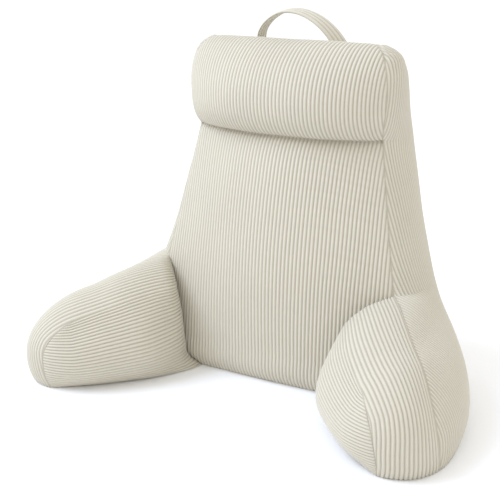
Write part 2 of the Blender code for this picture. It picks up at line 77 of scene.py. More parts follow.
FRONT = [
    # z,    y_mid, y_seam, half
    (0.0,   26.0,  34.0,  253.0),
    (16.0,  15.0,  29.0,  250.0),
    (60.0,  11.0,  37.5,  242.0),
    (120.0, 9.0,   48.0,  230.0),
    (183.0, 10.0,  59.5,  218.4),
    (260.0, 17.0,  73.5,  203.0),
    (345.0, 31.0,  89.0,  186.5),
    (400.0, 48.0,  98.5,  176.0),
    (424.0, 62.0,  103.5, 171.5),
]
FRONT_POWER = 1.75
ROLL = [
    # turn,  y_mid, y_seam, z,     half
    (0.0,    62.0,  103.5,  424.0, 171.5),
    (18.0,   47.0,  94.0,   436.0, 175.0),
    (40.0,   33.0,  88.0,   455.0, 179.0),
    (65.0,   27.0,  88.0,   482.0, 182.0),
    (90.0,   31.0,  89.0,   510.0, 182.0),
    (115.0,  46.0,  93.0,   538.0, 177.0),
    (140.0,  71.0,  102.0,  560.0, 168.0),
    (160.0,  95.0,  113.0,  571.0, 156.0),
    (172.0,  114.0, 122.0,  574.0, 149.0),
    (184.0,  136.0, 139.0,  571.0, 152.0),
    (200.0,  160.0, 157.0,  560.0, 157.0),
]
ROLL_POWER = 2.6
FACE_TURN, CROWN_TURN, REAR_SEAM_TURN = 140.0, 172.0, 200.0   # 560, 574 and 560 mm high


def col(table, key, value):
    """Column `value` of a table as a smooth function of column `key`."""
    rows = sorted((row[key], row[value]) for row in table)
    xs = np.array([r[0] for r in rows])
    ys = np.array([r[1] for r in rows])
    d = np.diff(ys) / np.diff(xs)
    m = np.zeros(len(xs))
    m[0], m[-1] = d[0], d[-1]
    for i in range(1, len(xs) - 1):
        h0, h1 = xs[i] - xs[i - 1], xs[i + 1] - xs[i]
        m[i] = (d[i - 1] * h1 + d[i] * h0) / (h0 + h1)

    def at(x):
        x = np.clip(np.asarray(x, float), xs[0], xs[-1])
        i = np.clip(np.searchsorted(xs, x) - 1, 0, len(xs) - 2)
        h = xs[i + 1] - xs[i]
        t = (x - xs[i]) / h
        return ((2 * t**3 - 3 * t**2 + 1) * ys[i] + (t**3 - 2 * t**2 + t) * h * m[i]
                + (-2 * t**3 + 3 * t**2) * ys[i + 1] + (t**3 - t**2) * h * m[i + 1])

    return at


FRONT_MID, FRONT_SEAM, FRONT_HALF = (col(FRONT, 0, k) for k in (1, 2, 3))
ROLL_MID, ROLL_SEAM, ROLL_H, ROLL_HALF = (col(ROLL, 0, k) for k in (1, 2, 3, 4))


def front_point(x, z):
    share = np.clip(np.abs(x) / FRONT_HALF(z), 0, 1) ** FRONT_POWER
    y = FRONT_MID(z) + (FRONT_SEAM(z) - FRONT_MID(z)) * share
    return np.stack([x + 0 * z, y, z + 0 * x], -1)


def roll_point(x, turn):
    share = np.clip(np.abs(x) / ROLL_HALF(turn), 0, 1) ** ROLL_POWER
    y = ROLL_MID(turn) + (ROLL_SEAM(turn) - ROLL_MID(turn)) * share
    return np.stack([x + 0 * turn, y, ROLL_H(turn) + 0 * x], -1)


def along(curve, widest):
    """The curve's points by distance in the cloth from its start, and its whole length."""
    t = np.linspace(0, widest, 241)
    d = np.concatenate([[0], np.cumsum(np.linalg.norm(np.diff(curve(t), axis=0), axis=1))])
    return (lambda s: curve(np.interp(s, d, t))), d[-1]


def rib_profile(phase):
    """1 on a rib's crest, 0 in the valley, with a round crest and a narrow valley."""
    return np.abs(np.cos(np.pi * phase)) ** RIB_ROUND


class Shell:
    """Points and faces of the right half, x >= 0, in millimetres. Each point also holds how
    high it is on its rib and how near it is to a seam, which sets its painted shade."""

    def __init__(self):
        self.points, self.rib, self.seam, self.faces = [], [], [], []

    def add(self, p, rib=0.0, seam=1.0):
        p = np.atleast_2d(np.asarray(p, float))
        first = len(self.points)
        self.points.extend(p)
        self.rib.extend(np.broadcast_to(rib, len(p)))
        self.seam.extend(np.broadcast_to(seam, len(p)))
        return np.arange(first, first + len(p))

    def point(self, p):
        return int(self.add(p)[0])

    def face(self, ids):
        kept = [a for n, a in enumerate(ids) if a != ids[n - 1]]
        if len(set(kept)) >= 3:
            self.faces.append(kept)

    def grid(self, lines):
        for upper, lower in zip(lines, lines[1:]):
            for k in range(len(upper) - 1):
                self.face([upper[k], upper[k + 1], lower[k + 1], lower[k]])

    def ribbed(self, rows, out=1, relief=None, sunk=None, pucker=None, low_seam=None):
        """A panel. A row is (place, low, high, low id, high id): place gives a point by its
        distance in the cloth, and the rib lines run from row to row at equal distances.
        Without a low id the row starts on the pillow's middle. out turns the cloth's face,
        relief scales each row's ribs, sunk pulls a row in and pucker gathers it beside its
        high seam, in mm, and low_seam is how far the low seam dips, 0 to 1."""
        middle = rows[0][3] is None
        first = 0 if middle else int(math.floor(min(r[1] for r in rows) / STEP)) - 1
        last = int(math.ceil(max(r[2] for r in rows) / STEP)) + 1
        s = np.arange(first, last + 1) * STEP
        crest = rib_profile(s / WALE)
        lines = []
        for j, (place, low, high, low_id, high_id) in enumerate(rows):
            before, after = rows[max(j - 1, 0)], rows[min(j + 1, len(rows) - 1)]
            p = place(np.clip(s, low, high))
            across = place(np.clip(s + SLOPE_REACH, low, high)) - place(np.clip(s - SLOPE_REACH, low, high))
            down = after[0](np.clip(s, after[1], after[2])) - before[0](np.clip(s, before[1], before[2]))
            normal = np.cross(across, down) * out
            normal /= np.linalg.norm(normal, axis=1)[:, None] + TINY
            near = np.exp(-np.clip(high - s, 0, None) / PUFF_RUN)
            dip = 1.0 if low_seam is None else low_seam[j]
            if not middle:
                near = np.maximum(near, dip * np.exp(-np.clip(s - low, 0, None) / PUFF_RUN))
            scale = 1.0 if relief is None else relief[j]
            pull = 0.0 if sunk is None else sunk[j]
            height = RIB * (2 * crest - 1) * (1 - SEAM_FLAT * near) * scale
            if pucker is not None:
                gather = pucker[j] * np.exp(-np.clip(high - s, 0, None) / GATHER_RUN)
                height = height + gather * np.cos(2 * np.pi * (high - s) / GATHER_WAVE + GATHER_START)
            q = p + normal * (height + PUFF_UP * (1 - near) - pull)[:, None]
            q[:, 2] = 0.0 if p[0, 2] < TOUCH else np.maximum(q[:, 2], FLOOR_KEEP * p[:, 2])
            if middle:
                q[0, 0] = 0.0
            # How much painted shade each point gets: beside a seam, and where the row is pulled in.
            seam = np.maximum(near, min(pull / SEAM_PULL, 1.0))
            ids = self.add(q, crest * scale + 0.5 * (1 - scale), seam)
            inside = (s < high - SPARE) if middle else (s > low + SPARE) & (s < high - SPARE)
            ids = np.where(inside, ids, high_id)
            if not middle:
                if dip < 1:
                    edge = int(np.argmax(s >= low))
                    self.points[low_id] = place(low) + normal[edge] * (PUFF_UP - RIB) * (1 - dip)
                    self.seam[low_id] = dip
                ids = np.where(s <= low + SPARE, low_id, ids)
            lines.append([int(a) for a in ids])
        self.grid(lines)
        return lines

    def zip(self, one, two):
        """Closes the strip between two chains of points that run the same way."""
        def shares(chain):
            p = np.array([self.points[a] for a in chain])
            d = np.concatenate([[0], np.cumsum(np.linalg.norm(np.diff(p, axis=0), axis=1))])
            return d / d[-1]
        a, b, i, j = shares(one), shares(two), 0, 0
        while i < len(one) - 1 or j < len(two) - 1:
            if j == len(two) - 1 or (i < len(one) - 1 and a[i + 1] <= b[j + 1]):
                self.face([one[i], one[i + 1], two[j]])
                i += 1
            else:
                self.face([one[i], two[j + 1], two[j]])
                j += 1


def distinct(line):
    return [a for n, a in enumerate(line) if n == 0 or a != line[n - 1]]


# The front rows climb 9 mm at a time, closer beside the floor and the tuck, and the roll's
# rows turn 5 degrees at a time. Rows over the crown come in pairs of equal height.
JOIN = [
    # z,     x where the arm is sewn on
    (0.0,   131.0), (12.0,  149.0), (44.0,  163.5),
    (103.0, 180.5), (147.0, 203.0), (183.0, 218.4),
]
JOIN_X = col(JOIN, 0, 1)
ARM_Z = 183.0          # the top of that seam
front_z = ([0.0, 1.5, 4.0, 8.0, 13.0] + list(np.linspace(19.0, ARM_Z, 19))
           + list(np.linspace(ARM_Z, 412.0, 26))[1:] + [416.0, 419.5, 422.0, TUCK_Z])
roll_turn = [2.5, 5.5, 9.0, 13.0] + list(np.linspace(18.0, FACE_TURN, 25))
crown_front = list(np.linspace(143.5, 170.0, 9))
falling = np.linspace(CROWN_TURN, REAR_SEAM_TURN, 200)
crown_rear = [float(np.interp(-ROLL_H(a), -ROLL_H(falling), falling)) for a in crown_front[::-1]]
crown_rear.append(REAR_SEAM_TURN)

shell = Shell()
seam_id, band, band_sunk = {}, [], []
for z in front_z:
    wide = float(JOIN_X(z)) if z < ARM_Z else float(FRONT_HALF(z))
    place, length = along(lambda x, z=z: front_point(x, np.full(np.shape(x), z)), wide)
    seam_id["front", z] = shell.point(place(length))
    band.append((place, 0.0, length, None, seam_id["front", z]))
    band_sunk.append(TUCK_PULL * math.exp(-(TUCK_Z - z) / TUCK_RUN))
for turn in roll_turn + crown_front + [CROWN_TURN] + crown_rear:
    wide = float(ROLL_HALF(turn))
    place, length = along(lambda x, turn=turn: roll_point(x, np.full(np.shape(x), turn)), wide)
    seam_id["roll", turn] = shell.point(place(length))
    band.append((place, 0.0, length, None, seam_id["roll", turn]))
    tucked = TUCK_PULL * math.exp(-turn * ROLL_MM / TUCK_RUN)
    sewn = REAR_SEAM_PULL * math.exp(-abs(turn - REAR_SEAM_TURN) * CROWN_MM / REAR_SEAM_RUN)
    band_sunk.append(tucked + sewn)

# ---------------------------------------------------------------- rear and side panels
# The rear is a plain upright panel of the same cloth. Each side panel is cut as one L: it
# closes the end of the neck roll and the side of the back, and runs on over the outer side
# of the arm. Its ribs stand upright and are cut off slantwise by the arm's top seam.
REAR_TOP = [
    # z,    y
    (574.0, 126.0), (571.0, 139.0), (560.0, 157.0), (538.0, 178.0),
    (510.0, 199.0), (482.0, 211.0), (455.0, 220.0), (424.0, 226.0),
]
REAR_Y = 228.0
REAR_LEAN = 2.0        # how far the rear leans in at the tuck's height
REAR_CROWN = 9.0
REAR_CROWN_POWER = 0.6
REAR_SEAM_Z = 560.0
CROWN_Z = 574.0        # the side panel's top, under which its ribs rise over RELIEF_RUN
RELIEF_RUN = 16.0
PUCKER = 1.3           # the gathers where the roll's end seam turns over the top
PUCKER_Z, PUCKER_HALF = 561.0, 11.0
SIDE = [
    # z,    rear_x, a_x,   a_y,   b_x,   b_y
    (0.0,   234.0,  305.0, 165.0, 390.0, -14.0),
    (15.0,  239.0,  312.0, 166.0, 400.0, -12.0),
    (60.0,  238.0,  316.0, 166.0, 403.0, -8.0),
    (110.0, 228.0,  302.0, 170.0, 362.0, 6.0),
    (150.0, 220.0,  281.0, 174.0, 286.0, 46.0),
    (180.0, 214.0,  264.0, 178.0, 259.0, 72.0),
    (210.0, 208.0,  249.0, 181.0, 248.0, 88.0),
    (250.0, 200.0,  234.0, 184.0, 235.0, 108.0),
    (330.0, 186.0,  214.0, 188.0, 213.0, 127.0),
    (424.0, 172.0,  192.0, 190.0, 193.0, 141.0),
    (455.0, 168.0,  189.0, 188.0, 197.0, 128.0),
    (500.0, 165.0,  190.0, 180.0, 200.0, 120.0),
    (540.0, 161.0,  188.0, 172.0, 197.0, 118.0),
    (560.0, 157.0,  180.0, 160.0, 188.0, 120.0),
    (574.0, 150.0,  160.0, 130.0, 165.0, 126.0),
]
# The seams of the strip over the arm, in the arm's own frame: u ahead, v outward.
STRIP = [
    # step, out_u, out_v, out_z, in_u,  in_v,   in_z,  crown
    (0.0,    0.0,   0.0,   183.0, 0.0,   -93.0,  150.0, 14.0),
    (0.14,   50.0,  -4.0,  174.0, 52.0,  -100.0, 148.0, 15.0),
    (0.26,   92.0,  -7.0,  162.0, 102.0, -106.0, 142.0, 16.0),
    (0.40,   136.0, -9.0,  146.0, 152.0, -110.0, 132.0, 17.0),
    (0.54,   182.0, -11.0, 130.0, 206.0, -112.0, 118.0, 19.0),
    (0.66,   217.0, -12.0, 104.0, 237.0, -113.0, 96.0,  21.0),
    (0.76,   238.0, -11.0, 78.0,  251.0, -110.0, 72.0,  21.0),
    (0.86,   249.0, -8.0,  47.0,  252.0, -105.0, 44.0,  19.0),
    (0.95,   247.0, -4.0,  15.0,  247.0, -99.0,  15.0,  17.0),
    (1.0,    242.0, -2.0,  0.0,   241.0, -96.0,  0.0,   15.0),
]
ARM_AZ = 40.5          # degrees that the arm splays from straight ahead
ARM_X, ARM_Y = 218.4, 59.5
OUTER_ROWS = 45
AHEAD = np.array([math.sin(math.radians(ARM_AZ)), -math.cos(math.radians(ARM_AZ))])
OUTWARD = np.array([-AHEAD[1], AHEAD[0]])
REAR_TOP_Y = col(REAR_TOP, 0, 1)
SIDE_COLS = [col(SIDE, 0, k) for k in range(1, 6)]
STRIP_COLS = [col(STRIP, 0, k) for k in range(1, 8)]
STEPS = np.linspace(0, 1, 600)
OUT_Z = STRIP_COLS[2](STEPS)


def from_arm(u, v, z):
    """A point of the right arm's own frame, in the pillow's."""
    return np.stack([ARM_X + u * AHEAD[0] + v * OUTWARD[0],
                     ARM_Y + u * AHEAD[1] + v * OUTWARD[1], z + 0 * u], -1)


def rear_y(z):
    return float(REAR_TOP_Y(z)) if z > TUCK_Z else REAR_Y - REAR_LEAN * (z / TUCK_Z) ** 2


def rear_curve(z):
    half = float(SIDE_COLS[0](z))
    crown = REAR_CROWN * math.sin(math.pi * min(z / REAR_SEAM_Z, 1.0)) ** REAR_CROWN_POWER

    def at(x):
        return np.stack([x, rear_y(z) + crown * (1 - (x / half) ** 2), np.full(np.shape(x), z)], -1)

    return at, half


def front_seam_point(z):
    """Where the side panel's front edge is at this height."""
    if z >= TUCK_Z:
        turns = np.linspace(0, CROWN_TURN, 400)
        turn = np.interp(z, ROLL_H(turns), turns)
        return np.array([ROLL_HALF(turn), ROLL_SEAM(turn)])
    if z >= ARM_Z:
        return np.array([FRONT_HALF(z), FRONT_SEAM(z)])
    step = float(np.interp(-z, -OUT_Z, STEPS))
    return from_arm(STRIP_COLS[0](step), STRIP_COLS[1](step), 0.0)[:2]


def side_curve(z):
    """The side panel's plan curve at height z, from the rear seam."""
    rx, ax, ay, bx, by = (float(c(z)) for c in SIDE_COLS)
    ry = rear_y(z)
    k = np.array([(rx, ry), (ax, min(ay, ry)), (bx, by), front_seam_point(z)])

    def at(t):
        t = np.asarray(t, float)[..., None]
        xy = ((1 - t)**3 * k[0] + 3 * (1 - t)**2 * t * k[1] + 3 * (1 - t) * t**2 * k[2] + t**3 * k[3])
        return np.concatenate([xy, np.full(xy.shape[:-1] + (1,), z)], -1)

    return at


# The strip's outer seam is divided evenly along its length, and the side panel's rows under
# the arm's top run to those points.
seam_path = np.stack([STRIP_COLS[0](STEPS), STRIP_COLS[1](STEPS), OUT_Z], -1)
run = np.concatenate([[0], np.cumsum(np.linalg.norm(np.diff(seam_path, axis=0), axis=1))])
even = np.linspace(0, run[-1], OUTER_ROWS + 1)[1:]
outer_steps = [float(np.interp(d, run, STEPS)) for d in even]
low_z = [float(STRIP_COLS[2](s)) for s in outer_steps]
low_z[-1] = 0.0

rear_id = {}
rear_z = [float(ROLL_H(a)) for a in roll_turn[::-1][1:]] + front_z[::-1]
rear_z = [z for z in rear_z if z >= ARM_Z] + low_z
for z in rear_z:
    curve, half = rear_curve(z)
    place, length = along(curve, half)
    rear_id[z] = shell.point(place(length))
    band.append((place, 0.0, length, None, rear_id[z]))
    band_sunk.append(REAR_SEAM_PULL * math.exp(-abs(REAR_SEAM_Z - z) / REAR_SEAM_RUN))
band_grid = shell.ribbed(band, sunk=band_sunk)

strip_ends = []
for step in outer_steps:
    ou, ov, oz, iu, iv, iz, _ = (float(c(step)) for c in STRIP_COLS)
    ends = from_arm(iu, iv, iz), from_arm(ou, ov, oz)
    if step == 1.0:
        ends[0][2] = ends[1][2] = 0.0
    strip_ends.append((shell.point(ends[0]), shell.point(ends[1])))

side_rows, side_relief, side_pucker = [], [], []


def side_row(z, rear_end, front_end):
    """The ribs are measured from an upright line, so the rear seam cuts some of them off."""
    place, length = along(side_curve(z), 1.0)
    low = REAR_Y - rear_y(z)
    side_rows.append((lambda s, place=place, low=low: place(s - low), low, low + length, rear_end, front_end))
    side_relief.append(float(np.clip((CROWN_Z - z) / RELIEF_RUN, 0, 1)) ** 0.5)
    side_pucker.append(PUCKER * math.exp(-((z - PUCKER_Z) / PUCKER_HALF) ** 2))


for front_turn, rear_turn in zip(crown_front[::-1] + [FACE_TURN], crown_rear):
    side_row(float(ROLL_H(front_turn)), seam_id["roll", rear_turn], seam_id["roll", front_turn])
for turn in roll_turn[::-1][1:]:
    z = float(ROLL_H(turn))
    side_row(z, rear_id[z], seam_id["roll", turn])
for z in front_z[::-1]:
    if z >= ARM_Z:
        side_row(z, rear_id[z], seam_id["front", z])
for z, ends in zip(low_z, strip_ends):
    side_row(z, rear_id[z], ends[1])
side_grid = shell.ribbed(side_rows, relief=side_relief, pucker=side_pucker)
shell.face(distinct(side_grid[0]) + [seam_id["roll", CROWN_TURN]])

# ---------------------------------------------------------------- arms
# Each arm is a stuffed pocket sewn on in a crease beside the seat. A strip with lengthwise
# ribs runs over its top and down its front end to the floor, and a puffed inner panel with
# ribs along the arm faces the sitter.
PUFF, PUFF_SHARE = 26.0, 0.78   # the arm swells at once by this share
FULL = 130.0           # and has its full section here
FULL_POWER = 1.6
STRIP_SHARE = 0.26     # the strip's share of the crease
INNER_BULGE = 41.0
BULGE_LOW = 0.82       # under 1, the inner panel is fullest below its middle
BULGE_ROUND = 0.85
FULLEST = 0.4          # how far along the arm it is fullest
FRONT_STEP = 0.54      # the strip's step where the inner panel's front seam starts
NOSE_STEP = 0.6        # and where the arm turns down
DIP_FROM, DIP_RUN = 0.50, 0.10   # where the strip's inner seam begins to show
SMALL = 0.01           # a small part of a way, to read its direction
ARM_LENGTH, ARM_HEIGHT = 240.0, 130.0
FOOT = [
    # u,     v of the inner panel on the floor
    (-60.0, -92.0), (-10.0, -100.0), (60.0, -110.0), (150.0, -105.0), (245.0, -97.0),
]
FOOT_V = col(FOOT, 0, 1)


def to_arm(p):
    return ((p[..., 0] - ARM_X) * AHEAD[0] + (p[..., 1] - ARM_Y) * AHEAD[1],
            (p[..., 0] - ARM_X) * OUTWARD[0] + (p[..., 1] - ARM_Y) * OUTWARD[1])


def rise(u):
    """0 at the crease where the arm is sewn on, 1 where it has its full section."""
    at_once = np.sqrt(1 - np.clip(1 - u / PUFF, 0, 1) ** 2)
    return PUFF_SHARE * at_once + (1 - PUFF_SHARE) * (1 - np.clip(1 - u / FULL, 0, 1) ** FULL_POWER)


def crease(share):
    """The crease from the arm's outer seam (0) down to the floor (1), as u, v, z."""
    z = ARM_Z * (1 - share)
    u, v = to_arm(front_point(JOIN_X(z), z))
    return u, v, z


def strip_point(across, step):
    """across: 0 at the inner seam, 1 at the outer. step: 0 at the crease, 1 at the floor."""
    ou, ov, oz, iu, iv, iz, crown = (c(step) for c in STRIP_COLS)
    cu, cv, cz = crease(STRIP_SHARE * (1 - across))
    u = iu + (ou - iu) * across
    v = iv + (ov - iv) * across
    z = iz + (oz - iz) * across
    # the crown swells along the strip's own facing
    du, dz = ((STRIP_COLS[a](step + SMALL) + STRIP_COLS[b](step + SMALL)
               - STRIP_COLS[a](step - SMALL) - STRIP_COLS[b](step - SMALL)) / 2 for a, b in ((0, 3), (2, 5)))
    length = np.hypot(du, dz) + TINY
    tilt = np.arctan2(oz - iz, ov - iv) * np.clip(1 - step / NOSE_STEP, 0, 1)
    swell = crown * (1 - (2 * across - 1) ** 2)
    u = u - swell * dz / length
    z = z + swell * du / length * np.cos(tilt)
    v = v - swell * np.sin(tilt)
    r = rise(u)
    return from_arm(u + cu * (1 - np.clip(u / FULL, 0, 1)), cv + (v - cv) * r, cz + (z - cz) * r)


IN_STEPS = np.linspace(FRONT_STEP, 1.0, 300)
IN_Z = STRIP_COLS[5](IN_STEPS)
OVER_ARM = 5           # the table's rows before the strip turns down
SEAM_U, SEAM_V, SEAM_Z = (np.array([row[k] for row in STRIP[:7]]) for k in (4, 5, 6))


def inner_point(h, t):
    """h: 0 at the floor, 1 at the strip's seam. t: 0 at the crease, 1 at the front seam."""
    step = np.interp(-np.asarray(h, float), -(IN_Z / IN_Z[0]), IN_STEPS)
    end_u, end_v = STRIP_COLS[3](step), STRIP_COLS[4](step)
    u = end_u * t
    z = h * np.interp(u, SEAM_U[:OVER_ARM], SEAM_Z[:OVER_ARM])
    seam_v = np.interp(u, SEAM_U, SEAM_V)
    flat = FOOT_V(u) + (seam_v - FOOT_V(u)) * h
    flat = flat + (end_v - flat) * t**6
    bulge = INNER_BULGE * np.abs(np.sin(np.pi * np.clip(h, 0, 1) ** BULGE_LOW)) ** BULGE_ROUND
    swelling = 1 - (1 - t / FULLEST) ** 2
    falling_off = 1 - np.clip((t - FULLEST) / (1 - FULLEST), 0, 1) ** 4
    bulge = bulge * np.where(t < FULLEST, swelling, falling_off)
    cu, cv, cz = crease(1 - (1 - STRIP_SHARE) * h)
    r = rise(u)
    return from_arm(u + cu * (1 - np.clip(u / FULL, 0, 1)), cv + (flat - cv) * r - bulge, cz + (z - cz) * r)


def inner_dip(step):
    """How far the strip's inner seam shows: not over the arm, fully at its front end."""
    return np.clip((step - DIP_FROM) / DIP_RUN, 0, 1) ** 1.5


# The ribs are measured from the outer seam. Over the arm 15.5 ribs fill the strip, so its
# inner seam lies in a valley, and they are drawn together where the arm is sewn on. Past
# EASE_FROM they go back to their own width.
EASE_FROM, EASE_RUN = 0.5, 0.2
STRIP_FULL = 15.5 * WALE
crease_steps = [0.0015, 0.006, 0.0135]
strip_rows, strip_dip, crease_ends = [], [], []
for step, ends in zip(crease_steps + outer_steps, [None] * len(crease_steps) + strip_ends):
    place, length = along(lambda c, step=step: strip_point(c, np.full(np.shape(c), step)), 1.0)
    if ends is None:
        ends = shell.point(place(0.0)), shell.point(place(length))
        crease_ends.append(ends)
    else:
        for a, p in zip(ends, (place(0.0), place(length))):
            shell.points[a] = np.array([p[0], p[1], 0.0 if step == 1.0 else p[2]])
    tight = length / STRIP_FULL
    tight = tight + (1 - tight) * float(np.clip((step - EASE_FROM) / EASE_RUN, 0, 1))
    strip_rows.append((lambda s, place=place, length=length, tight=tight: place(s * tight + length),
                       -length / tight, 0.0, *ends))
    strip_dip.append(float(inner_dip(step)))
strip_grid = shell.ribbed(strip_rows, out=-1, low_seam=strip_dip)
shell.face([seam_id["front", ARM_Z]] + [e[1] for e in crease_ends] + [strip_ends[0][1]])

# The inner panel's ribs run along the arm, at equal distances in the cloth where it is
# fullest, and their points lie closer together beside the crease and the front seam.
heights = np.linspace(0, 1, 200)
fullest = inner_point(heights, np.full(200, FULLEST))
height_run = np.concatenate([[0], np.cumsum(np.linalg.norm(np.diff(fullest, axis=0), axis=1))])
INNER_LINES = SAMPLES * int(round(height_run[-1] / WALE))
inner_t = np.concatenate([[0.0015, 0.006, 0.014, 0.026, 0.042],
                          np.linspace(0.06, 0.95, 46),
                          [0.966, 0.98, 0.99, 0.996]])
inner_lines = []
for k in range(INNER_LINES):
    h = np.full(inner_t.shape, np.interp(k / INNER_LINES, height_run / height_run[-1], heights))
    p = inner_point(h, inner_t)
    further, nearer = (inner_point(h, np.clip(inner_t + a, 0.001, 1)) for a in (SMALL, -SMALL))
    higher, lower = (inner_point(np.clip(h + a, 0, 1), inner_t) for a in (2 * SMALL, -2 * SMALL))
    normal = -np.cross(higher - lower, further - nearer)
    normal /= np.linalg.norm(normal, axis=1)[:, None] + TINY
    near = np.exp(-np.minimum(inner_t, 1 - inner_t) * ARM_LENGTH / PUFF_RUN)
    near = np.maximum(near, inner_dip(inner_t * NOSE_STEP) * np.exp(-(1 - h) * ARM_HEIGHT / PUFF_RUN))
    crest = float(rib_profile(k / SAMPLES + 0.5))
    q = p + normal * (RIB * (2 * crest - 1) * (1 - SEAM_FLAT * near) + PUFF_UP * (1 - near))[:, None]
    q[:, 2] = 0.0 if k == 0 else np.maximum(q[:, 2], FLOOR_KEEP * p[:, 2])
    # near also sets the painted shade beside the inner panel's seams.
    inner_lines.append([int(a) for a in shell.add(q, crest, near)])
shell.grid([line[::-1] for line in inner_lines])

# The seams where the panels meet, and the flat base on the floor.
crease_chain = [seam_id["front", z] for z in front_z if z <= ARM_Z]
shell.zip(crease_chain, [line[0] for line in inner_lines] + distinct(strip_grid[0]))
shell.zip(inner_lines[-1] + [line[-1] for line in inner_lines[-2::-1]],
          [e[0] for e in crease_ends + strip_ends])
base = distinct(distinct(band_grid[0]) + inner_lines[0] + distinct(strip_grid[-1])
                + distinct(side_grid[-1])[::-1] + distinct(band_grid[-1])[-2::-1])

# ---------------------------------------------------------------- the three cushions
# Corduroy gives a little between its seams, so the filled shell is not quite even. It is
# parted where the arms are sewn on, 6 mm ahead of their creases.
SEAM_AHEAD = 6.0
LUMP = 1.1             # the slow unevenness of the filling
LUMP_SIZE = 95.0
LUMP_FROM = 30.0       # it fades out below this height
noise.seed_set(1)      # without a seed the lumps are new in each run


def whole():
    """The closed shell of both halves, in metres."""
    bm = bmesh.new()
    rib = bm.verts.layers.float.new("rib")
    seam = bm.verts.layers.float.new("seam")

    def vert(p, n):
        q = Vector(p)
        if q.z > TOUCH:
            q += noise.noise_vector(Vector(p) / LUMP_SIZE) * LUMP * min(q.z / LUMP_FROM, 1.0)
        q.z = max(q.z, 0.0)
        v = bm.verts.new((q.x * MM, (q.y - MIDDLE_Y) * MM, q.z * MM))
        v[rib], v[seam] = shell.rib[n], shell.seam[n]
        return v

    used = {a for ids in shell.faces for a in ids} | set(base)
    right = [vert(p, n) if n in used else None for n, p in enumerate(shell.points)]
    left = [None if n not in used else right[n] if abs(p[0]) < TOUCH else vert((-p[0], p[1], p[2]), n)
            for n, p in enumerate(shell.points)]
    for ids in shell.faces:
        bm.faces.new([right[a] for a in ids])
        bm.faces.new([left[a] for a in reversed(ids)])
    bm.faces.new([right[a] for a in base] + [left[a] for a in base[-2:0:-1]])
    bmesh.ops.recalc_face_normals(bm, faces=bm.faces)
    return bm


def cut(bm, centre, normal, keep_ahead):
    """Keeps one side of a plane and closes the cut with a sharp-edged face."""
    geometry = bm.verts[:] + bm.edges[:] + bm.faces[:]
    at = Vector((centre[0], centre[1] - MIDDLE_Y, centre[2])) * MM
    done = bmesh.ops.bisect_plane(bm, geom=geometry, dist=1e-6, plane_co=at,
                                  plane_no=Vector(normal), clear_inner=keep_ahead, clear_outer=not keep_ahead)
    edges = [e for e in done["geom_cut"] if isinstance(e, bmesh.types.BMEdge)]
    bmesh.ops.contextual_create(bm, geom=edges)
    for edge in edges:
        edge.smooth = False


# The plane that lies best along the right arm's crease above the floor, moved ahead.
crease_z = np.linspace(15.0, ARM_Z, 24)
crease_line = front_point(JOIN_X(crease_z), crease_z)
centre = crease_line.mean(0)
normal = np.linalg.svd(crease_line - centre)[2][2]
normal = -normal if normal[1] > 0 else normal
centre = centre + normal * SEAM_AHEAD
mirrored = np.array([-1, 1, 1])


class Value:
    """A number that varies over a surface. Arithmetic on it adds Math nodes."""

    def __init__(self, finish, socket):
        self.finish, self.socket = finish, socket

    def math(self, operation, *values):
        return self.finish.node("ShaderNodeMath", {"operation": operation}, *values)

    def __add__(self, other):
        return self.math("ADD", self, other)

    __radd__ = __add__

    def __sub__(self, other):
        return self.math("SUBTRACT", self, other)

    def __rsub__(self, other):
        return self.math("SUBTRACT", other, self)

    def __mul__(self, other):
        return self.math("MULTIPLY", self, other)

    def __pow__(self, other):
        return self.math("POWER", self, other)


class Finish:
    """A material with its one Principled shader."""

    def __init__(self, name, **fixed):
        self.material = bpy.data.materials.new(name)
        self.material.use_nodes = True
        self.tree = self.material.node_tree
        self.shader = self.tree.nodes["Principled BSDF"]
        for socket, value in fixed.items():
            self.shader.inputs[socket.replace("_", " ")].default_value = value

    def node(self, kind, settings, *values, out=0, **named):
        """A node by its type and settings, with its inputs in order or by name."""
        made = self.tree.nodes.new(kind)
        for key, value in settings.items():
            setattr(made, key, value)
        for key, value in list(enumerate(values)) + [(k.replace("_", " "), v) for k, v in named.items()]:
            if value is None:
                continue
            if isinstance(value, Value):
                self.tree.links.new(value.socket, made.inputs[key])
            else:
                made.inputs[key].default_value = value
        return Value(self, made.outputs[out])

    def feed(self, socket, value):
        self.tree.links.new(value.socket, self.shader.inputs[socket])

    def mix(self, share, one, two, blend="MIX"):
        """Two colours: a Mix node takes its factor first and its colours seventh and eighth."""
        settings = {"data_type": "RGBA", "blend_type": blend}
        return self.node("ShaderNodeMix", settings, share, None, None, None, None, None, one, two, out=2)


CREST = (0.61, 0.572, 0.478, 1)      # the pile on a rib's crest
VALLEY = (0.44, 0.405, 0.32, 1)      # the ground weave between two ribs
# Painted shade: the colour the cloth darkens towards beside its seams and where it is pulled in.
PAINTED_SEAM_SHADE = (0.37, 0.335, 0.26, 1)
PILE_SCALE, NAP_SCALE, BROAD_SCALE = 850.0, 120.0, 9.0   # tufts, brushed patches, whole panels
BUMP = 0.0007          # m


